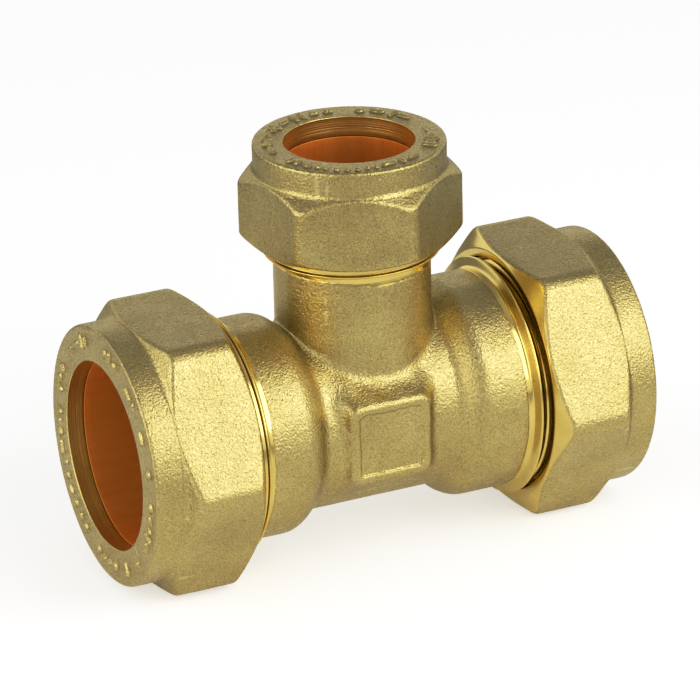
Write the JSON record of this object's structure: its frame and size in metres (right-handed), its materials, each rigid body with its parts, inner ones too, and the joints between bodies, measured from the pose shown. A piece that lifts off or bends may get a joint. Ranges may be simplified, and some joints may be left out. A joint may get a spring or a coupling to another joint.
{
  "type": "compression reducing tee fitting",
  "caption": "Brass compression tee for copper tube: equal run with a smaller branch, hexagon nuts on outside threads, and copper olives that seal the tube.",
  "frame": {"origin": "where the run's axis and the branch's axis cross", "axes": "X along the run, +Z out of the branch, -Y towards the square pad on the body's front"},
  "size_m": [0.064, 0.035, 0.049],
  "materials": {
    "forged_brass": "blasted forging, with turned ends",
    "nut_brass": "blasted forging, turned face and bore",
    "olive_copper": "bright turned copper"
  },
  "bodies": {
    "tee": {"tee_body": "forged_brass"},
    "left_olive": {"olive_left": "olive_copper"},
    "left_nut": {"nut_left": "nut_brass"},
    "right_olive": {"olive_right": "olive_copper"},
    "right_nut": {"nut_right": "nut_brass"},
    "branch_olive": {"olive_branch": "olive_copper"},
    "branch_nut": {"nut_branch": "nut_brass"}
  },
  "joints": [
    {"name": "left_travel", "type": "slide", "parent": "tee", "child": "left_olive", "axis": [-1, 0, 0], "range_m": [-0.00076, 0.00451]},
    {"name": "left_turn", "type": "hinge", "parent": "left_olive", "child": "left_nut", "pos_m": [-0.0255, 0, 0], "axis": [-1, 0, 0], "range_deg": [-180, 1080]},
    {"name": "right_travel", "type": "slide", "parent": "tee", "child": "right_olive", "axis": [1, 0, 0], "range_m": [-0.00076, 0.00451]},
    {"name": "right_turn", "type": "hinge", "parent": "right_olive", "child": "right_nut", "pos_m": [0.0255, 0, 0], "axis": [1, 0, 0], "range_deg": [-180, 1080]},
    {"name": "branch_travel", "type": "slide", "parent": "tee", "child": "branch_olive", "axis": [0, 0, 1], "range_m": [-0.00076, 0.00451]},
    {"name": "branch_turn", "type": "hinge", "parent": "branch_olive", "child": "branch_nut", "pos_m": [0, 0, 0.027], "axis": [0, 0, 1], "range_deg": [-180, 1080]}
  ],
  "couplings": [
    {"joint": "left_travel", "follows": "left_turn", "m_per_rad": 0.00023873},
    {"joint": "right_travel", "follows": "right_turn", "m_per_rad": 0.00023873},
    {"joint": "branch_travel", "follows": "branch_turn", "m_per_rad": 0.00023873}
  ]
}
